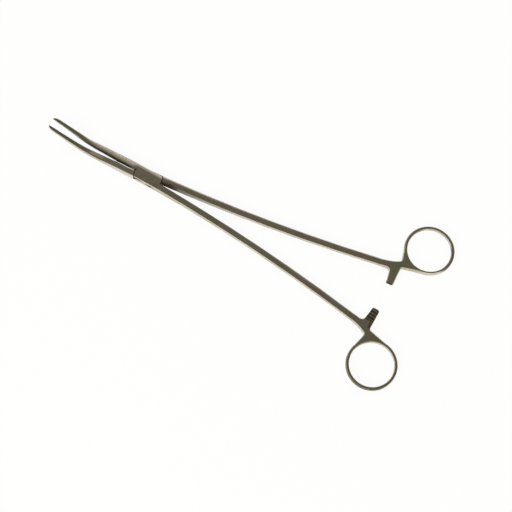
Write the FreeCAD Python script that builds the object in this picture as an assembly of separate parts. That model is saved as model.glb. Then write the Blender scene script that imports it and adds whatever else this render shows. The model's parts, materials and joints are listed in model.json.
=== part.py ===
"""Curved hemostat forceps with a box lock, finger rings and a ratchet.

Three pieces: box_half, tongue_half and pivot_pin. Millimetres, +Z up, +X towards the rings.
The pivot axis is Z and z = 0 is the underside of the box. Each half is drawn with the jaws shut,
its closing plane at y = 0, then turned about the pivot into the pose that is handed in.
"""

import FreeCAD, Part
import math
import os

V = FreeCAD.Vector
UP = V(0, 0, 1)

# Pose: the angle between the halves, jaws shut to this pose
rest_opening = 4.0

# Box lock
box_width = 9.0
box_thick = 5.2
box_round = 1.9
box_edge_round = 0.6
box_crotch = 2.2
box_radius = 8.7
shank_start = 9.5
slot_height = 2.0
tongue_radius = 6.2
pin_radius = 1.6

# Clearances
closing_gap = 0.04
shoulder_gap = 0.1
slot_side_gap = 0.1
tongue_face_gap = 0.05
pin_running_gap = 0.04

# Jaws: distances run along the jaw from the pivot
jaw_straight = 36.7
jaw_bend_radius = 31.0
jaw_bend_angle = 23.0
jaw_tip_run = 19.0
jaw_taper_start = 26.0
jaw_base_width = 3.9
jaw_tip_width = 1.9
jaw_tip_thick = 1.75
jaw_thin_power = 1.2
jaw_nose = 4.2
jaw_relief = 0.5
jaw_relief_end = 22.0
jaw_bend_spans = 5

# Serrations across both jaw faces
serration_start = 23.0
serration_pitch = 0.85
serration_depth = 0.32
serration_end_margin = 1.4

# Shanks
arm_width = 4.2
arm_bow_radius = 1090.0
arm_start_angle = 1.2
arm_run = 139.0
arm_inner_round = 0.3
box_arm_relief = 0.7
tongue_arm_relief = 0.1
arm_spans = 8
arm_thin_power = 4

# Rings and neck: the root of the ring is set from the shank's end
handle_thick = 3.1
handle_round = 1.0
root_ahead = 14.7
root_aside = 7.3
ring_inner_radius = 13.15
ring_band = 1.95
ring_section_sides = 16
ring_section_power = 0.6
ring_root_inset = 0.2
ring_root_reach = 9.0
neck_angle = 238.0
neck_bevel = 0.5
outer_crotch_ahead = 10.1
outer_crotch_aside = 5.8
outer_crotch_round = 1.6
inner_crotch_round = 2.6

# Ratchet bars: set ahead of the shank's end, their own ends are distances from the closing plane
bar_ahead = 5.5
bar_width = 5.8
bar_taper = 1.4
bar_web = 1.7
tongue_bar_end = 3.7
box_bar_end = 2.6
bar_near_corner = 0.9
bar_far_corner = 1.3
toothed_root = 11.2
tooth_count = 3
tooth_pitch = 1.95
tooth_depth = 0.7
tooth_land = 1.9

mid_z = box_thick / 2
half_width = box_width / 2
ring_outer_radius = ring_inner_radius + ring_band


def rounded_section(origin, across, up, near, far, thick, near_round, far_round):
    """A rectangle from near to far along across, thick along up, its corners rounded or left sharp."""
    h = thick / 2
    share = 1 - math.sqrt(0.5)
    corners = ((near, h, 1, -1, near_round), (near, -h, 1, 1, near_round),
               (far, -h, -1, 1, far_round), (far, h, -1, -1, far_round))

    def at(a, b):
        return origin + across * a + up * b

    ends = []
    arcs = []
    for n, (a, b, sa, sb, r) in enumerate(corners):
        level = at(a + sa * r, b)
        upright = at(a, b + sb * r)
        start, stop = (level, upright) if n % 2 == 0 else (upright, level)
        middle = at(a + sa * r * share, b + sb * r * share)
        arcs.append([Part.Arc(start, middle, stop).toShape()] if r > 0 else [])
        ends.append((start, stop))
    edges = []
    for n in range(4):
        edges += arcs[n] + [Part.makeLine(ends[n][1], ends[(n + 1) % 4][0])]
    return Part.Wire(edges)


def between(value, low, high):
    return min(max(value, low), high)


def jaw_point(s):
    """Point and lifting angle at the distance s along the jaw."""
    bend = math.radians(jaw_bend_angle)
    straight = min(s, jaw_straight)
    turned = between((s - jaw_straight) / jaw_bend_radius, 0, bend)
    tip = max(s - jaw_straight - jaw_bend_radius * bend, 0)
    x = straight + jaw_bend_radius * math.sin(turned) + tip * math.cos(bend)
    z = jaw_bend_radius * (1 - math.cos(turned)) + tip * math.sin(bend)
    return V(-x, 0, mid_z + z), turned


jaw_length = jaw_straight + jaw_bend_radius * math.radians(jaw_bend_angle) + jaw_tip_run


def jaw_size(s):
    """Width and thickness of one jaw at the distance s."""
    wide = between((s - jaw_taper_start) / (jaw_length - jaw_taper_start), 0, 1)
    thin = between((s - shank_start) / (jaw_length - shank_start), 0, 1)
    rounding = between((s - shank_start) / (jaw_taper_start - shank_start), 0, 1)
    start_width = half_width + (jaw_base_width - half_width) * rounding
    width = start_width + (jaw_tip_width - jaw_base_width) * wide
    return width, jaw_tip_thick + (box_thick - jaw_tip_thick) * (1 - thin) ** jaw_thin_power


def jaw_section(s, side, shrink=1.0):
    point, lift = jaw_point(s)
    width, thick = jaw_size(s)
    opened = between((jaw_relief_end - s) / (jaw_relief_end - shank_start), 0, 1)
    near = closing_gap + jaw_relief * math.sin(math.pi / 2 * opened)
    far = near + (width - near) * shrink
    thick = thick * shrink
    up = V(math.sin(lift), 0, math.cos(lift))
    far_round = min(box_round * thick / box_thick, 0.8 * (far - near))
    return rounded_section(point, V(0, side, 0), up, near, far, thick, 0, far_round)


def groove(s, side):
    """A V cut across the jaw face."""
    point, lift = jaw_point(s)
    along = V(-math.cos(lift), 0, math.sin(lift))
    up = V(math.sin(lift), 0, math.cos(lift))
    half = serration_depth
    wall = point + V(0, side * (closing_gap - 0.01), 0) - up * box_thick
    corners = [wall - along * half, wall + along * half, wall + V(0, side * serration_depth, 0)]
    return Part.Face(Part.makePolygon(corners + corners[:1])).extrude(up * 2 * box_thick)


def make_jaw(side, groove_shift):
    nose_start = jaw_length - jaw_nose
    bend_end = jaw_straight + jaw_bend_radius * math.radians(jaw_bend_angle)
    span = (bend_end - jaw_straight) / jaw_bend_spans
    stations = [shank_start + (jaw_relief_end - shank_start) * n / 3 for n in range(4)] + [jaw_taper_start]
    stations += [jaw_straight + span * n for n in range(jaw_bend_spans + 1)]
    stations.append(nose_start)
    jaw = Part.makeLoft([jaw_section(s, side) for s in stations], True, True)
    nose = []
    for n in range(5):
        share = n / 4 * 0.93
        nose.append(jaw_section(nose_start + jaw_nose * share, side, math.sqrt(1 - share * share)))
    jaw = jaw.fuse(Part.makeLoft(nose, True, True))
    length = nose_start - serration_end_margin - serration_start
    grooves = []
    for n in range(int(length / serration_pitch)):
        grooves.append(groove(serration_start + (n + groove_shift) * serration_pitch, side))
    return jaw.cut(grooves)


def half_bar(direction, side, far_round):
    """The straight root of a jaw or shank inside the box, one side of the closing plane."""
    section = rounded_section(V(0, 0, mid_z), V(0, side, 0), UP, closing_gap, half_width,
                              box_thick, 0, far_round)
    return Part.Face(section).extrude(V(direction * shank_start, 0, 0))


def arm_point(u):
    start = math.radians(arm_start_angle)
    heading = start + u / arm_bow_radius
    x = shank_start + arm_bow_radius * (math.sin(heading) - math.sin(start))
    y = (half_width + closing_gap) / 2 + arm_bow_radius * (math.cos(start) - math.cos(heading))
    return V(x, y, mid_z), heading


arm_end, arm_end_heading = arm_point(arm_run)
ring_root = arm_end + V(root_ahead, root_aside, 0)
ring_middle = (ring_inner_radius + ring_outer_radius) / 2
ring_reach = ring_root.x - ring_middle * math.cos(math.radians(neck_angle))
ring_offset = ring_root.y - ring_middle * math.sin(math.radians(neck_angle))
bar_near = arm_end.x + bar_ahead
bar_far = bar_near + bar_width


def make_arm(relief, root_round):
    """The shank on the +Y side, from the box to the neck, its inner face set back at the root."""
    sections = []
    for n in range(arm_spans + 1):
        share = (n / arm_spans) ** 1.5
        point, heading = arm_point(arm_run * share)
        if n == 0:
            heading = 0.0
        start_width = half_width - closing_gap
        width = start_width + (arm_width - start_width) * share
        set_back = relief * (1 - share)
        thick = handle_thick + (box_thick - handle_thick) * (1 - share) ** arm_thin_power
        near = arm_inner_round + (handle_round - arm_inner_round) * share
        far = handle_round + (root_round - handle_round) * (1 - share) ** arm_thin_power
        across = V(-math.sin(heading), math.cos(heading), 0)
        sections.append(rounded_section(point, across, UP, set_back - width / 2, width / 2, thick, near, far))
    return Part.makeLoft(sections, True, True)


def plate(face_wire, low, high):
    face_wire.translate(V(0, 0, low))
    return Part.Face(face_wire).extrude(V(0, 0, high - low))


def disc(radius, low, high, x=0.0, y=0.0):
    return Part.makeCylinder(radius, high - low, V(x, y, low))


def block(x0, x1, y0, y1, z0, z1):
    return Part.makeBox(x1 - x0, y1 - y0, z1 - z0, V(x0, y0, z0))


def touching(corner, radius, side):
    """Where the line from the corner touches a circle about the ring's centre, on one side of it."""
    centre = V(ring_reach, ring_offset, 0)
    away = corner - centre
    angle = math.atan2(away.y, away.x) + side * math.acos(radius / away.Length)
    return centre + V(math.cos(angle), math.sin(angle), 0) * radius


def neck_outline(ring_radius, bar_end):
    """Shank's end, ratchet bar and the two straight webs that run into the ring."""
    across = V(-math.sin(arm_end_heading), math.cos(arm_end_heading), 0) * (arm_width / 2)
    end = V(arm_end.x, arm_end.y, 0)
    crotch = end + V(outer_crotch_ahead, outer_crotch_aside, 0)
    web = V(bar_far, end.y + bar_web, 0)
    inner = end - across
    outer = end + across
    inner_crotch = V(bar_near, inner.y + (bar_near - inner.x) * math.tan(arm_end_heading), 0)
    chord = crotch - outer
    chord_angle = math.atan2(chord.y, chord.x)
    sag = chord.Length / 2 * math.tan((chord_angle - arm_end_heading) / 2)
    middle = (outer + crotch) * 0.5 + V(math.sin(chord_angle), -math.cos(chord_angle), 0) * sag
    corners = [outer, inner, inner_crotch, V(bar_near + bar_taper, bar_end, 0), V(bar_far, bar_end, 0),
               web, touching(web, ring_radius, 1), touching(crotch, ring_radius, -1), crotch]
    edges = [Part.makeLine(corners[n], corners[n + 1]) for n in range(len(corners) - 1)]
    edges.append(Part.Arc(crotch, middle, outer).toShape())
    return Part.Wire(edges)


def turn_share(shape, x, y):
    """Share of a small circle round an upright edge that lies inside the shape."""
    hits = 0
    for n in range(16):
        angle = 2 * math.pi * n / 16
        probe = V(x + 0.2 * math.cos(angle), y + 0.2 * math.sin(angle), mid_z)
        hits += shape.isInside(probe, 1e-6, False)
    return hits / 16


def edges_at(shape, points):
    return [e for e in shape.Edges for p in points if e.CenterOfMass.distanceToPoint(p) < 1e-4]


def make_ring():
    """The finger ring, a band whose section is a squared oval."""
    corners = []
    for n in range(ring_section_sides):
        angle = 2 * math.pi * (n + 0.5) / ring_section_sides
        wide = math.copysign(abs(math.cos(angle)) ** ring_section_power, math.cos(angle))
        high = math.copysign(abs(math.sin(angle)) ** ring_section_power, math.sin(angle))
        corners.append(V(ring_reach + ring_middle + ring_band / 2 * wide, ring_offset,
                         mid_z + handle_thick / 2 * high))
    section = Part.Face(Part.makePolygon(corners + corners[:1]))
    return section.revolve(V(ring_reach, ring_offset, 0), UP, 360)


def make_neck(bar_end):
    """The flat plate of neck and ratchet bar, blended into the root of the ring."""
    low = mid_z - handle_thick / 2
    high = mid_z + handle_thick / 2
    outer = ring_outer_radius - ring_root_inset
    inner = ring_inner_radius + ring_root_inset
    body = plate(neck_outline(outer, bar_end), low, high).fuse(disc(outer, low, high, ring_reach, ring_offset))
    body = body.cut(disc(inner, low, high, ring_reach, ring_offset)).removeSplitter()
    hollow = []
    tip = []
    for edge in body.Edges:
        a = edge.firstVertex().Point
        b = edge.lastVertex().Point
        if abs(a.x - b.x) + abs(a.y - b.y) > 1e-6 or abs(a.z - b.z) < 1e-6:
            continue
        if turn_share(body, a.x, a.y) > 0.6 and a.x < ring_reach:
            hollow.append(edge.CenterOfMass)
        elif a.y < bar_end + 1e-3:
            tip.append(edge.CenterOfMass)
    hollow.sort(key=lambda point: point.y)
    tip.sort(key=lambda point: point.x)
    body = body.makeFillet(inner_crotch_round, edges_at(body, hollow[:1]))
    body = body.makeFillet(outer_crotch_round, edges_at(body, hollow[1:]))
    body = body.makeFillet(bar_near_corner, edges_at(body, tip[:1]))
    body = body.makeFillet(bar_far_corner, edges_at(body, tip[1:]))
    ahead = V(math.cos(arm_end_heading), math.sin(arm_end_heading), 0)
    rims = [e for e in body.Edges if e.BoundBox.ZLength < 1e-6
            and not all(abs((v.Point - arm_end).dot(ahead)) < 1e-4 for v in e.Vertexes)]
    body = body.makeChamfer(neck_bevel, rims)
    keep = block(ring_root_reach, ring_reach, -ring_reach, ring_reach, low - 1, high + 1)
    keep.rotate(V(0, 0, 0), UP, neck_angle)
    keep.translate(V(ring_reach, ring_offset, 0))
    return body.common(keep)


def make_handle(bar_end):
    """Neck, finger ring and ratchet bar on the +Y side, with the teeth facing down."""
    body = make_neck(bar_end).fuse(make_ring())
    tips = mid_z - tooth_depth / 2
    body = body.cut(block(bar_near, bar_far + bar_far_corner, 0, toothed_root, -1, tips))
    notches = []
    for n in range(tooth_count):
        y = bar_end + tooth_land + n * tooth_pitch
        corners = [V(bar_near - 1, y, tips - 0.2), V(bar_near - 1, y, tips + tooth_depth),
                   V(bar_near - 1, y + tooth_pitch, tips), V(bar_near - 1, y + tooth_pitch, tips - 0.2)]
        face = Part.Face(Part.makePolygon(corners + corners[:1]))
        notches.append(face.extrude(V(bar_far - bar_near + 2, 0, 0)))
    return body.cut(notches)


def half_turned(shape):
    """Carries a +Y shank to the -Y side, teeth up."""
    turned = shape.copy()
    turned.rotate(V(0, 0, mid_z), V(1, 0, 0), 180)
    return turned


def crotch_web(gap, low, high):
    """Fills the corner between a cheek's end and the box half's own shank, hollowed to a round.

    The tongue half gives up the same corner, grown by the gap.
    """
    cheek = box_radius - shoulder_gap
    y = box_crotch - closing_gap - box_arm_relief
    x = math.sqrt((cheek + box_crotch) ** 2 - y ** 2)
    top = y * cheek / (cheek + box_crotch)
    layers = []
    for bottom, ceiling in ((0, low), (high, box_thick)):
        corner = block(pin_radius, x, -half_width / 2, top, bottom, ceiling)
        layers.append(corner.cut(disc(box_crotch - gap, bottom, ceiling, x, y)))
    return layers


def make_tongue_half():
    low = mid_z - slot_height / 2 + tongue_face_gap
    high = mid_z + slot_height / 2 - tongue_face_gap
    body = half_bar(-1, -1, box_round).fuse([half_bar(1, 1, box_round), make_jaw(-1, 0.0),
                                             make_arm(tongue_arm_relief, box_round),
                                             make_handle(tongue_bar_end)])
    body = body.cut([disc(box_radius, -1, low), disc(box_radius, high, box_thick + 1)])
    body = body.cut(crotch_web(shoulder_gap, low, high))
    side = half_width - slot_side_gap
    tongue = disc(tongue_radius, low, high).common(block(-box_radius, box_radius, -side, side, low, high))
    body = body.fuse(tongue)
    return body.cut(disc(pin_radius + pin_running_gap, -1, box_thick + 1)).removeSplitter()


def make_box_half():
    low = mid_z - slot_height / 2
    high = mid_z + slot_height / 2
    section = rounded_section(V(-shank_start, 0, mid_z), V(0, 1, 0), UP, -half_width, half_width,
                              box_thick, box_edge_round, box_round)
    cheeks = Part.Face(section).extrude(V(2 * shank_start, 0, 0))
    cheeks = cheeks.common(disc(box_radius - shoulder_gap, -1, box_thick + 1))
    arm = make_arm(box_arm_relief, box_edge_round)
    body = cheeks.fuse([half_bar(-1, 1, box_round), half_turned(half_bar(1, 1, box_edge_round)),
                        make_jaw(1, 0.5), half_turned(arm), half_turned(make_handle(box_bar_end))])
    body = body.fuse(crotch_web(0.0, low, high))
    reach = box_radius + shoulder_gap
    slot = disc(tongue_radius + slot_side_gap, low, high)
    slot = slot.fuse(block(-reach, 0, -box_width, closing_gap, low, high))
    slot = slot.fuse(block(0, reach, -closing_gap, box_width, low, high))
    return body.cut([slot, disc(pin_radius, -1, box_thick + 1)]).removeSplitter()


def handed_in(shape, angle):
    turned = shape.copy()
    turned.rotate(V(0, 0, 0), UP, angle)
    return turned


pieces = {
    "box_half": handed_in(make_box_half(), -rest_opening / 2),
    "tongue_half": handed_in(make_tongue_half(), rest_opening / 2),
    "pivot_pin": disc(pin_radius, 0, box_thick),
}

os.makedirs("parts", exist_ok=True)
for name, shape in pieces.items():
    if shape.ShapeType == "Compound" and len(shape.Solids) == 1:
        shape = shape.Solids[0]
    print(name, shape.ShapeType, len(shape.Solids), len(shape.Faces), shape.isValid(), round(shape.Volume, 1))
    shape.exportStep(os.path.join("parts", name + ".step"))
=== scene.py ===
"""Looks of the curved hemostat forceps: satin steel halves on a white table, seen as in the photograph.

Lengths are in metres. A half's own axes are the part's, turned about the pivot so that X runs along
the half and Y is 0 on its closing plane. A band is a pair of values: where a change starts, and where
it is complete. What is named "starts" grows over its band, and what is named "ends" fades over it.
"""

import json
import math

import bmesh
import bpy
from mathutils import Matrix, Vector

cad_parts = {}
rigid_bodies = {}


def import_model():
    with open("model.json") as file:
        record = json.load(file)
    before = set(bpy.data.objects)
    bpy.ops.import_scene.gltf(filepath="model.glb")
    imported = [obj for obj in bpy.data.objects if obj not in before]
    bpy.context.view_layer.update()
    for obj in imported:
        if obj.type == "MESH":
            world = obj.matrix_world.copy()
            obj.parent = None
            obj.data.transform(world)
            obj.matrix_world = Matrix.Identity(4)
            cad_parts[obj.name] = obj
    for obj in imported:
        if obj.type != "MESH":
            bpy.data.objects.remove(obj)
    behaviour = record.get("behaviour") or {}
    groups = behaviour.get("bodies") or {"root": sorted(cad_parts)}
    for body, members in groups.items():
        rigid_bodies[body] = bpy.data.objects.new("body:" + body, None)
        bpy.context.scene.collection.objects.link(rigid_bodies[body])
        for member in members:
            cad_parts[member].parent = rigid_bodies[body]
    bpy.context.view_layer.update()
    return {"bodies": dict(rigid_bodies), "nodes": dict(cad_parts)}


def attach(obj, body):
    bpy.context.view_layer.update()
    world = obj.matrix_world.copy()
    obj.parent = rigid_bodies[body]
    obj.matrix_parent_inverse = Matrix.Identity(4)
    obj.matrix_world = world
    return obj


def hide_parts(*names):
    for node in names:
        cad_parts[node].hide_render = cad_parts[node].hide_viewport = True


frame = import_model()
nodes = frame["nodes"]

# Camera, fitted to the photograph: where it looks, from which side, and how far away
camera_target = Vector((0.0798, -0.0128, 0.0026))
camera_tilt = math.radians(18.0)
camera_azimuth = math.radians(-69.8)
camera_roll = math.radians(28.54)
camera_distance = 0.696
camera_lens = 83.0
sensor_width = 36
nearest_seen = 0.05
farthest_seen = 20

# Table: its size, its colour, and how much of it the camera and the steel see as plain white
table_half_width = 3.0
table_drop = 0.00002
table_colour = (0.88, 0.88, 0.87, 1)
white_to_camera = 0.93
white_to_steel = 0.25

# Room: bands of the direction's own X, Y and Z, where its light changes
side_change = (-0.35, 0.25)
near_glow_heights = (0.35, 0.78)
far_glow_heights = (0.66, 0.9)
far_glow_ends = (0.1, 0.5)

# Places of the part that the looks follow
half_angle = math.radians(2.0)
middle_height = 0.0026
shoulder_radius = 0.00865
serrated_from = 0.0225
teeth_from = 0.0045
teeth_to = 0.0112
tooth_pitch = 0.00195
ring_middle = Vector((0.16883, 0.03922))
ring_inner = 0.01316

# Edges: how far the sharp ones are broken, the serrations less, and the turn that counts as sharp;
# those of the bore, near the pivot axis, stay as they are
edge_break = 0.00016
serration_share = 0.4
edge_steps = 2
sharp_turn = math.radians(31)
flat_turn = math.radians(0.4)
weld_distance = 1e-6
bore_reach = 0.0019

# Soft bevel on the upper outer side of the box half's jaw and cheek: where it lies, how far it draws
# the side in, and in Y where the flat top gives way to it and where the side stands
soft_bevel_low = 0.0030
soft_bevel_inner = 0.0004
soft_bevel_rear = 0.0088
soft_bevel_width = 0.0015
jaw_bevel_starts = (-0.048, -0.036)
jaw_bevel_ends = (-0.013, -0.0075)
cheek_bevel_starts = (-0.0135, -0.0075)
cheek_share = 0.55
jaw_flat, jaw_side = 0.0020, 0.0039
cheek_flat, cheek_side = 0.0026, 0.0045
jaw_taper = 0.05
jaw_taper_from = 0.026

# Slope on the outer -Y side of the tongue half's ring, with angles in degrees about the ring's middle
ring_slope_low = 0.0030
ring_slope_reach = (0.0003, 0.0045)
ring_slope_share = 0.58
ring_slope_most = 0.0013
ring_slope_starts = (238, 262)
ring_slope_ends = (308, 338)
ring_slope_heights = (0.0026, 0.0050)

# Shoulder lines, dark arcs of painted shade about the pivot in the gap where one half ends against the
# other: how far they spread, and the band of X times Y above which they show, which keeps them to two
# quarters of the circle
shoulder_spread = (0.00017, 0.00042)
shoulder_quarters = (-0.0000095, -0.0000035)
shoulder_shade = 0.97

# Slot lines, painted shade in the gaps at the two faces of the tongue: the height of each and how dark it
# is, how far they spread, how far out they run, and where they are fainter along the half
slot_lines = ((0.0036, 0.1), (0.0016, 0.97))
slot_line_spread = (0.0002, 0.0005)
slot_line_radius = (0.0086, 0.0093)
slot_line_fades = (-0.0045, -0.001)
slot_line_faint = 0.3
slot_rear_starts = (0.0005, 0.0025)
slot_rear_ends = (0.0055, 0.007)

# Inside of the slot, painted shade: bands of height from its middle, of depth and of radius
slot_half_height = (0.00102, 0.00106)
slot_depth = (0.0041, 0.0043)
slot_radius = (0.0088, 0.0092)
slot_shade = 0.95

# Jaw faces: painted shade close to the closing plane, between the jaws, paler and patchy, and palest at the
# tips
jaw_face_depth = (0.0002, 0.0006)
jaw_face_ends = (-0.0085, -0.0075)
jaw_face_darkens = (-0.052, -0.040)
tip_face_shade = 0.3
jaw_patches = (0.25, 0.6)
jaw_patch_shade = 0.75

# Roots of the shanks, painted shade where they face each other and part
shank_spread = 0.06
shank_face_depth = (0.0002, 0.0008)
shank_face_starts = (0.0086, 0.0090)
shank_face_ends = (0.012, 0.024)
shank_shade = 0.85

# Toothed ratchet bar, painted shade: darkest in the notches, paler on the crests and on the land before the
# teeth
bar_starts = (0.1520, 0.1532)
toothed_bar_ends = (0.1596, 0.1606)
toothed_bar_reach = (teeth_to - 0.0004, teeth_to + 0.0006)
notch_to_crest = (0.05, 0.8)
crest_shade = 0.5
land_reach = (teeth_from - 0.0006, teeth_from)
land_shade = 0.6
bar_patches = (0.2, 0.65)
bar_patch_shade = 0.72

# Dark pocket of painted shade at the root of the toothed bar: its middle in X and Y, and how far it spreads
# in each
pocket_middle = (0.1588, 0.0128)
pocket_spread = ((0.0006, 0.0022), (0.0018, 0.0042))
pocket_shade = 0.95
pocket_patches = (0.3, 0.6)
pocket_patch_shade = 0.55

# Plain ratchet bar: painted shade at its dark undercut end
plain_bar_ends = (0.1606, 0.1616)
plain_bar_reach = (0.0040, 0.0045)

# Hand finishing, as slopes of the surface: waves of the flats, and how the jaws' tops lean
wave_height = 0.00007
upper_lean = 170.0
upper_lean_from = 0.0003
upper_lean_starts = (-0.048, -0.034)
upper_lean_ends = (-0.013, -0.0085)
lower_lean = 0.17
lower_lean_starts = (-0.042, -0.036)
lower_lean_ends = (-0.033, -0.025)

# Tarnish: bands of the clouds, the mottling and the casts of colour, and what the first two add
cloud_band = (0.36, 0.66)
cloud_share = 0.7
mottle_band = (0.35, 0.7)
mottle_share = 0.3
cast_band = (0.32, 0.68)

# Tops and sides, told apart by how upright the surface faces, and where the tops are painted a darker olive
# as painted shade
upright_band = (0.55, 0.97)
tip_top_shade_ends = (-0.052, -0.040)
tip_top_shade_share = 0.8
ring_top_shade_starts = (0.150, 0.164)
ring_top_shade_share = 0.6

# Painted shade on the sides, as spots where they are painted darker than the tops: the place and radius of
# each and how dark it is, and the shares of the radius between which it fades
box_side_shade = (((0.1646, -0.0535, 0.0026), 0.019, 0.95), ((0.157, -0.031, 0.0026), 0.006, 0.5))
tongue_side_shade = (((0.185, 0.040, 0.0026), 0.010, 0.8), ((0.1535, 0.042, 0.0026), 0.010, 0.7))
side_shade_fades = (0.75, 1.15)

# Painted shade in hollow corners, and what the painted shade does to the colour, the metal and the
# roughness
hollow_reach = 0.0011
hollow_band = (0.2, 0.6)
hollow_shade = 0.8
shade_covers = (0.0, 0.75)
shade_hides_metal = (0.4, 0.85)
metal_under_shade = 0.12
shade_roughens = 0.4

# Rubbed edges, brighter from handling and as a painted highlight: how wide they are, the band of how alike
# the rounded and straight surfaces face
wear_and_sheen_radius = 0.0004
wear_and_sheen_band = (0.86, 0.985)
wear_and_sheen_share = 0.5

# Grain: brushed lines along X, and how they and the tarnish change the roughness and the surface
half_roughness = 0.26
pin_roughness = 0.28
grain_scale = (260.0, 5200.0, 5200.0)
grain_band = (0.2, 0.8)
grain_smooths = 0.05
grain_roughens = 0.07
tarnish_roughens = 0.06
mottle_dents = 0.8
grain_strength = 0.22
grain_depth = 0.00002


def srgb(red, green, blue):
    """A colour as the eye reads it, from 0 to 255, as linear light."""
    linear = []
    for level in (red, green, blue):
        share = level / 255
        linear.append(share / 12.92 if share <= 0.04045 else ((share + 0.055) / 1.055) ** 2.4)
    return (*linear, 1.0)


# Colours of the steel, its casts of colour, its painted shade, and its rubbed edges with a painted
# highlight
bright_steel = srgb(232, 228, 219)
dull_steel = srgb(206, 197, 180)
bright_pin = srgb(230, 226, 216)
dull_pin = srgb(204, 195, 178)
pink_cast = srgb(255, 250, 249)
green_cast = srgb(250, 255, 245)
# painted shade on the tops near the jaws' tips
tip_top_shade = srgb(188, 189, 160)
# painted shade on the tops near the rings
ring_top_shade = srgb(205, 205, 172)
# painted shade on the steep sides about some spots
side_shade_grey = srgb(112, 106, 88)
# painted shade in hollows, gaps and recesses
shade_brown = srgb(64, 50, 29)
# rubbed edges from handling, brighter as a painted highlight too
worn_sheen_steel = srgb(238, 236, 230)

# Colours of the room's light, overhead and low on its two sides, and of the plain background
overhead_light = srgb(97, 94, 85)
near_light = srgb(255, 250, 242)
far_light = srgb(176, 171, 160)
background_white = (1, 1, 1, 1)


class Graph:
    """The shader nodes of a material or world. A method adds nodes and returns what they give."""

    def __init__(self, owner):
        owner.use_nodes = True
        self.tree = owner.node_tree

    def node(self, kind, **values):
        """Adds a node; values name its settings, or its inputs with _ for each space."""
        made = self.tree.nodes.new(kind)
        for name, value in values.items():
            if hasattr(made, name):
                setattr(made, name, value)
            else:
                self.feed(made.inputs[name.replace("_", " ")], value)
        return made

    def feed(self, socket, value):
        """Links another socket to this one, or writes a number, colour or place into it."""
        if isinstance(value, bpy.types.NodeSocket):
            self.tree.links.new(value, socket)
        else:
            socket.default_value = value

    def calculate(self, operation, first, second=0.0, clamp=False):
        made = self.node("ShaderNodeMath", operation=operation, use_clamp=clamp)
        self.feed(made.inputs[0], first)
        self.feed(made.inputs[1], second)
        return made.outputs[0]

    def product(self, *factors):
        result = factors[0]
        for factor in factors[1:]:
            result = self.calculate("MULTIPLY", result, factor)
        return result

    def distance(self, value, middle):
        """How far a value is from the middle one."""
        return self.calculate("ABSOLUTE", self.calculate("SUBTRACT", value, middle))

    def smooth(self, value, band, first, last):
        """Goes smoothly from the first share to the last over a band of the value."""
        made = self.node("ShaderNodeMapRange", interpolation_type="SMOOTHSTEP", Value=value,
                         From_Min=band[0], From_Max=band[1], To_Min=first, To_Max=last)
        return made.outputs[0]

    def rise(self, value, band, top=1.0):
        return self.smooth(value, band, 0.0, top)

    def fall(self, value, band, top=1.0):
        return self.smooth(value, band, top, 0.0)

    def blend(self, share, first, second, mode="MIX"):
        """Mixes two colours, each a socket or a written colour."""
        made = self.node("ShaderNodeMix", data_type="RGBA", blend_type=mode)
        for number, value in ((0, share), (6, first), (7, second)):
            self.feed(made.inputs[number], value)
        return made.outputs[2]

    def noise(self, place, scale, detail, roughness):
        made = self.node("ShaderNodeTexNoise", Vector=place, Scale=scale, Detail=detail,
                         Roughness=roughness)
        return made.outputs["Fac"]

    def split(self, vector):
        """The X, Y and Z of a vector."""
        return self.node("ShaderNodeSeparateXYZ", Vector=vector).outputs

    def compare(self, operation, first, second):
        """The distance or dot product of two vectors."""
        made = self.node("ShaderNodeVectorMath", operation=operation)
        self.feed(made.inputs[0], first)
        self.feed(made.inputs[1], second)
        return made.outputs["Value"]

    def show(self, output, share, first, second):
        """Ends the tree in a mix of two shaders."""
        mix = self.node("ShaderNodeMixShader")
        for socket, value in zip(mix.inputs, (share, first.outputs[0], second.outputs[0])):
            self.feed(socket, value)
        self.feed(self.node(output).inputs[0], mix.outputs[0])


def add_object(name, data):
    added = bpy.data.objects.new(name, data)
    bpy.context.scene.collection.objects.link(added)
    return added


def make_camera():
    data = bpy.data.cameras.new("camera")
    data.lens = camera_lens
    data.sensor_width = sensor_width
    data.clip_start = nearest_seen
    data.clip_end = farthest_seen
    camera = add_object("camera", data)
    lean = math.sin(camera_tilt)
    back = Vector((lean * math.cos(camera_azimuth), lean * math.sin(camera_azimuth), math.cos(camera_tilt)))
    right = Vector((math.cos(camera_roll), math.sin(camera_roll), 0))
    right = (right - back * right.dot(back)).normalized()
    up = back.cross(right)
    camera.matrix_world = Matrix((right, up, back)).transposed().to_4x4()
    camera.location = camera_target + back * camera_distance
    bpy.context.scene.camera = camera


def make_world():
    """A dim room overhead, bright low on its -Y side and duller on its +Y side, white to the camera."""
    world = bpy.data.worlds.new("room")
    bpy.context.scene.world = world
    graph = Graph(world)
    graph.tree.nodes.clear()
    x, y, z = graph.split(graph.node("ShaderNodeTexCoord").outputs["Generated"])
    near_side = graph.blend(graph.fall(z, near_glow_heights), overhead_light, near_light)
    far_share = graph.product(graph.fall(z, far_glow_heights), graph.fall(x, far_glow_ends))
    far_side = graph.blend(far_share, overhead_light, far_light)
    colour = graph.blend(graph.rise(y, side_change), near_side, far_side)
    room = graph.node("ShaderNodeBackground", Color=colour, Strength=1.0)
    white = graph.node("ShaderNodeBackground", Color=background_white, Strength=1.0)
    seen = graph.node("ShaderNodeLightPath").outputs["Is Camera Ray"]
    graph.show("ShaderNodeOutputWorld", seen, room, white)


def make_lamp(name, place, size, power, colour):
    """A round soft lamp that is aimed at the part, and that the steel doesn't mirror."""
    data = bpy.data.lights.new(name, "AREA")
    data.shape = "DISK"
    data.size = size
    data.energy = power
    data.color = colour
    lamp = add_object(name, data)
    lamp.location = place
    lamp.rotation_mode = "QUATERNION"
    lamp.rotation_quaternion = (camera_target - Vector(place)).to_track_quat("-Z", "Y")
    lamp.visible_glossy = False


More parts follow.
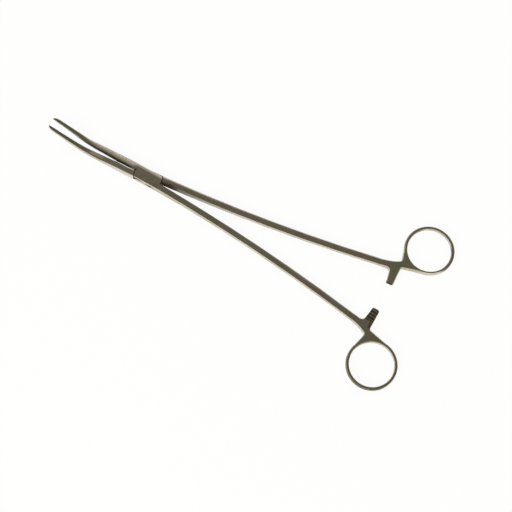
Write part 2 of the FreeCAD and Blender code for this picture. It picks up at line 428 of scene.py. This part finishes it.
def make_table():
    """The white table: matte and lit by the lamps, and near pure white to the camera."""
    far = table_half_width
    corners = [(-far, -far, 0), (far, -far, 0), (far, far, 0), (-far, far, 0)]
    mesh = bpy.data.meshes.new("table")
    mesh.from_pydata(corners, [], [(0, 1, 2, 3)])
    table = add_object("table", mesh)
    table.location.z = -table_drop
    material = bpy.data.materials.new("white_table")
    graph = Graph(material)
    graph.tree.nodes.clear()
    matte = graph.node("ShaderNodeBsdfDiffuse", Color=table_colour)
    white = graph.node("ShaderNodeEmission", Strength=1.0)
    rays = graph.node("ShaderNodeLightPath").outputs
    seen = graph.product(rays["Is Camera Ray"], white_to_camera)
    mirrored = graph.product(rays["Is Glossy Ray"], white_to_steel)
    graph.show("ShaderNodeOutputMaterial", graph.calculate("MAXIMUM", seen, mirrored), matte, white)
    mesh.materials.append(material)


def shade_of_half(graph, along, across, up, mottle):
    """Where a half is painted with shade, as a list of shares; along, across and up are its own axes."""
    aside = graph.calculate("ABSOLUTE", across)
    squares = (graph.product(along, along), graph.product(aside, aside))
    radius = graph.calculate("SQRT", graph.calculate("ADD", *squares))

    # shoulder lines: painted shade in arcs about the pivot, where one half ends against the other
    line = graph.fall(graph.distance(radius, shoulder_radius), shoulder_spread)
    quarters = graph.rise(graph.product(along, across), shoulder_quarters)
    shares = [graph.product(line, quarters, shoulder_shade)]

    # slot lines: painted shade where the tongue shows between the cheeks
    inside = graph.fall(radius, slot_line_radius)
    front = graph.smooth(along, slot_line_fades, 1.0, slot_line_faint)
    rear = graph.product(graph.rise(along, slot_rear_starts), graph.fall(along, slot_rear_ends))
    faded = graph.calculate("MAXIMUM", front, rear)
    for height, strength in slot_lines:
        line = graph.fall(graph.distance(up, height), slot_line_spread, strength)
        shares.append(graph.product(line, inside, faded))

    # inside of the slot: painted shade
    level = graph.fall(graph.distance(up, middle_height), slot_half_height)
    deep = graph.fall(aside, slot_depth)
    inside = graph.fall(radius, slot_radius)
    shares.append(graph.product(level, deep, inside, slot_shade))

    # jaw faces: painted shade between the jaws
    face = graph.fall(aside, jaw_face_depth)
    ends = graph.fall(along, jaw_face_ends)
    darkens = graph.smooth(along, jaw_face_darkens, tip_face_shade, 1.0)
    patchy = graph.smooth(mottle, jaw_patches, jaw_patch_shade, 1.0)
    shares.append(graph.product(face, ends, darkens, patchy))

    # roots of the shanks: painted shade where they face each other
    parted = graph.calculate("SUBTRACT", aside, graph.product(along, shank_spread))
    face = graph.fall(parted, shank_face_depth)
    root = graph.product(graph.rise(along, shank_face_starts), graph.fall(along, shank_face_ends))
    shares.append(graph.product(face, root, shank_shade))
    return shares


def shade_of_toothed_bar(graph, along, across, mottle):
    """Painted shade on the ratchet bar with its teeth, and in the dark pocket at its root, as a list of
    shares.
    """
    aside = graph.calculate("ABSOLUTE", across)
    bar = graph.product(graph.rise(along, bar_starts), graph.fall(along, toothed_bar_ends),
                        graph.fall(aside, toothed_bar_reach))
    teeth = graph.product(graph.calculate("SUBTRACT", aside, teeth_from), 1 / tooth_pitch)
    notch = graph.smooth(graph.calculate("FRACT", teeth), notch_to_crest, 1.0, crest_shade)
    land = graph.smooth(aside, land_reach, land_shade, 1.0)
    patchy = graph.smooth(mottle, bar_patches, bar_patch_shade, 1.0)
    bar_shade = graph.product(bar, notch, land, patchy)

    # pocket at the root: painted shade
    near = graph.fall(graph.distance(along, pocket_middle[0]), pocket_spread[0])
    beside = graph.fall(graph.distance(aside, pocket_middle[1]), pocket_spread[1], pocket_shade)
    patchy = graph.smooth(mottle, pocket_patches, pocket_patch_shade, 1.0)
    return [bar_shade, graph.product(near, beside, patchy)]


def shade_of_plain_bar(graph, along, across):
    """Painted shade at the dark undercut end of the plain ratchet bar, as a list with its share."""
    aside = graph.calculate("ABSOLUTE", across)
    return [graph.product(graph.rise(along, bar_starts), graph.fall(along, plain_bar_ends),
                          graph.fall(aside, plain_bar_reach))]


def jaw_lean(graph, along, across):
    """How far the jaws' tops sink towards +Y: more and more on the +Y jaw, evenly on the other."""
    inner = graph.calculate("MAXIMUM", graph.calculate("SUBTRACT", across, upper_lean_from))
    upper = graph.product(inner, inner, upper_lean / 2,
                          graph.rise(along, upper_lean_starts), graph.fall(along, upper_lean_ends))
    other_jaw = graph.calculate("LESS_THAN", across)
    lower = graph.product(across, lower_lean, other_jaw,
                          graph.rise(along, lower_lean_starts), graph.fall(along, lower_lean_ends))
    return graph.calculate("ADD", upper, lower)


def tarnished(graph, place, mottle, bright, dull):
    """The steel's colour, from bright to dull in clouds and finer mottling, and its share of tarnish."""
    clouds = graph.noise(place, scale=70.0, detail=5.0, roughness=0.62)
    cloudy = graph.rise(clouds, cloud_band, cloud_share)
    mottled = graph.rise(mottle, mottle_band, mottle_share)
    tarnish = graph.calculate("ADD", cloudy, mottled, clamp=True)
    casts = graph.noise(place, scale=42.0, detail=2.0, roughness=0.5)
    cast = graph.blend(graph.rise(casts, cast_band), pink_cast, green_cast)
    colour = graph.blend(1.0, graph.blend(tarnish, bright, dull), cast, "MULTIPLY")
    return colour, tarnish


def shaded_sides(graph, place, steep, colour, side_shade):
    """The colour, painted darker on the steep sides about each of its spots, as painted shade."""
    dark = 0.0
    for spot, radius, strength in side_shade:
        fades = (radius * side_shade_fades[0], radius * side_shade_fades[1])
        share = graph.fall(graph.compare("DISTANCE", place, spot), fades, strength)
        dark = graph.calculate("MAXIMUM", share, dark)
    return graph.blend(graph.product(steep, dark), colour, side_shade_grey)


def worn_and_sheened(graph, painted_shade, colour):
    """The colour, brighter on the edges where no painted shade lies: rubbed by handling, and a painted
    highlight too.
    """
    rounded = graph.node("ShaderNodeBevel", samples=6, Radius=wear_and_sheen_radius).outputs[0]
    straight = graph.node("ShaderNodeNewGeometry").outputs["Normal"]
    edge = graph.fall(graph.compare("DOT_PRODUCT", rounded, straight), wear_and_sheen_band, wear_and_sheen_share)
    wear_and_sheen = graph.product(edge, graph.calculate("SUBTRACT", 1.0, painted_shade, clamp=True))
    return graph.blend(wear_and_sheen, colour, worn_sheen_steel)


def steel(name, bright, dull, roughness, turn=None, teeth=False, side_shade=()):
    """Satin surgical steel: fine grain along X, tarnish in patches, painted shade in hollows and where
    pieces meet, rubbed edges with a painted highlight.

    Turn is the angle that carries the material's place into the half's own axes. The last argument is a
    list of places with a radius and a strength, about which the sides are painted darker than the tops as
    painted shade.
    """
    material = bpy.data.materials.new(name)
    graph = Graph(material)
    shader = graph.tree.nodes["Principled BSDF"].inputs
    spots = graph.node("ShaderNodeTexCoord").outputs
    place = spots["Object"]
    mottle = graph.noise(place, scale=620.0, detail=3.0, roughness=0.6)
    steep = graph.fall(graph.calculate("ABSOLUTE", graph.split(spots["Normal"])["Z"]), upright_band)
    colour, tarnish = tarnished(graph, place, mottle, bright, dull)
    colour = shaded_sides(graph, place, steep, colour, side_shade)

    # painted shade: in hollow corners, and on a half by place, where its tops are painted darker too
    hollow = graph.node("ShaderNodeAmbientOcclusion", samples=8, Distance=hollow_reach)
    painted_shade = graph.fall(hollow.outputs["AO"], hollow_band, hollow_shade)
    lean = 0.0
    if turn is not None:
        own = graph.node("ShaderNodeMapping", Vector=place, Rotation=(0, 0, turn)).outputs[0]
        along, across, up = graph.split(own)
        lean = jaw_lean(graph, along, across)
        tops = graph.calculate("SUBTRACT", 1.0, steep)
        tips = graph.product(graph.fall(along, tip_top_shade_ends, tip_top_shade_share), tops)
        rings = graph.product(graph.rise(along, ring_top_shade_starts, ring_top_shade_share), tops)
        colour = graph.blend(tips, colour, tip_top_shade)
        colour = graph.blend(rings, colour, ring_top_shade)
        shares = shade_of_half(graph, along, across, up, mottle)
        if teeth:
            shares += shade_of_toothed_bar(graph, along, across, mottle)
        else:
            shares += shade_of_plain_bar(graph, along, across)
        for share in shares:
            painted_shade = graph.calculate("MAXIMUM", painted_shade, share)
    # painted shade turns the colour brown
    colour = graph.blend(graph.rise(painted_shade, shade_covers), colour, shade_brown)
    graph.feed(shader["Base Color"], worn_and_sheened(graph, painted_shade, colour))
    graph.feed(shader["Metallic"], graph.smooth(painted_shade, shade_hides_metal, 1.0, metal_under_shade))

    # grain: brushed lines along the piece, in its roughness and its surface
    lines = graph.node("ShaderNodeMapping", Vector=place, Scale=grain_scale).outputs[0]
    grain = graph.noise(lines, scale=1.0, detail=3.0, roughness=0.55)
    rough = graph.smooth(grain, grain_band, roughness - grain_smooths, roughness + grain_roughens)
    rough = graph.calculate("ADD", rough, graph.product(tarnish, tarnish_roughens))
    rough = graph.calculate("ADD", rough, graph.product(painted_shade, shade_roughens), clamp=True)
    graph.feed(shader["Roughness"], rough)
    dents = graph.calculate("ADD", grain, graph.product(mottle, mottle_dents))
    brushed = graph.node("ShaderNodeBump", Strength=grain_strength, Distance=grain_depth, Height=dents)

    # hand finishing: the flats wave a little, and the jaws' tops lean where they were ground
    waves = graph.product(graph.noise(place, scale=75.0, detail=1.0, roughness=0.4), wave_height)
    uneven = graph.calculate("SUBTRACT", waves, lean)
    ground = graph.node("ShaderNodeBump", Strength=1.0, Distance=1.0, Height=uneven,
                        Normal=brushed.outputs[0])
    graph.feed(shader["Normal"], ground.outputs[0])
    return material


def ease(value, low, high):
    """0 below low, 1 above high and smooth between."""
    share = min(max((value - low) / (high - low), 0.0), 1.0)
    return share * share * (3 - 2 * share)


def soften_side(form):
    """Lets the upper outer side of the box half's jaw and cheek fall away in a broad, soft bevel."""
    turn = Matrix.Rotation(half_angle, 3, "Z")
    for vert in form.verts:
        own = turn @ vert.co
        if own.z < soft_bevel_low or own.y < soft_bevel_inner or own.x > soft_bevel_rear:
            continue
        if own.xy.length < bore_reach:
            continue
        jaw = ease(own.x, *jaw_bevel_starts) * (1 - ease(own.x, *jaw_bevel_ends))
        cheek = ease(own.x, *cheek_bevel_starts) * cheek_share
        narrow = jaw_taper * max(-own.x - jaw_taper_from, 0.0)
        flat = jaw_flat * jaw + cheek_flat * (1 - jaw) - narrow
        side = jaw_side * jaw + cheek_side * (1 - jaw) - narrow
        share = own.y / flat if own.y < flat else (side - own.y) / (side - flat)
        own.y -= max(jaw, cheek) * soft_bevel_width * max(share, 0.0)
        vert.co = turn.transposed() @ own


def slope_ring(form):
    """Narrows the top of the tongue half's ring on its outer -Y side, which leaves a broad slope there."""
    nearest, farthest = ring_slope_reach
    for vert in form.verts:
        spoke = vert.co.xy - ring_middle
        reach = spoke.length - ring_inner
        if vert.co.z < ring_slope_low or reach < nearest or reach > farthest:
            continue
        angle = math.degrees(math.atan2(spoke.y, spoke.x)) % 360
        share = ease(angle, *ring_slope_starts) * (1 - ease(angle, *ring_slope_ends))
        share *= ease(vert.co.z, *ring_slope_heights)
        inward = share * min(reach * ring_slope_share, ring_slope_most)
        vert.co.xy = ring_middle + spoke * (1 - inward / spoke.length)


def dressed(name, material):
    """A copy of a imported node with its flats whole, its curves smooth and its sharp edges broken."""
    form = bmesh.new()
    form.from_mesh(nodes[name].data)
    bmesh.ops.remove_doubles(form, verts=form.verts, dist=weld_distance)
    if name == "box_half":
        soften_side(form)
    if name == "tongue_half":
        slope_ring(form)
    bmesh.ops.dissolve_limit(form, angle_limit=flat_turn, verts=form.verts, edges=form.edges)
    for face in form.faces:
        face.smooth = True
    weights = form.edges.layers.float.new("bevel_weight_edge")
    for edge in form.edges:
        edge.smooth = len(edge.link_faces) == 2 and edge.calc_face_angle(0) < sharp_turn
        middle = (edge.verts[0].co + edge.verts[1].co) / 2
        if not edge.smooth and middle.xy.length > bore_reach:
            edge[weights] = serration_share if middle.x < -serrated_from else 1.0
    mesh = bpy.data.meshes.new(name + "_steel")
    form.to_mesh(mesh)
    form.free()
    mesh.materials.append(material)
    piece = add_object(name + "_steel", mesh)
    bevel = piece.modifiers.new("broken_edges", "BEVEL")
    bevel.width = edge_break
    bevel.segments = edge_steps
    bevel.limit_method = "WEIGHT"
    normals = piece.modifiers.new("flat_faces", "WEIGHTED_NORMAL")
    normals.keep_sharp = True
    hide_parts(name)
    return piece


def body_of(name):
    """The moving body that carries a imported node."""
    for body, carrier in frame["bodies"].items():
        if nodes[name].parent == carrier:
            return body


box_steel = steel("box_half_steel", bright_steel, dull_steel, half_roughness, turn=half_angle, teeth=True,
                  side_shade=box_side_shade)
tongue_steel = steel("tongue_half_steel", bright_steel, dull_steel, half_roughness, turn=-half_angle,
                     side_shade=tongue_side_shade)
pin_steel = steel("pin_steel", bright_pin, dull_pin, pin_roughness)
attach(dressed("box_half", box_steel), body_of("box_half"))
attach(dressed("tongue_half", tongue_steel), body_of("tongue_half"))
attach(dressed("pivot_pin", pin_steel), body_of("pivot_pin"))
make_table()
make_world()
make_lamp("key_light", place=(-0.25, -1.25, 1.15), size=1.3, power=26.0, colour=(1.0, 0.985, 0.965))
make_lamp("fill_light", place=(0.5, 1.2, 1.4), size=1.5, power=12.0, colour=(1.0, 0.99, 0.97))
make_camera()
bpy.context.scene.view_settings.view_transform = "Standard"
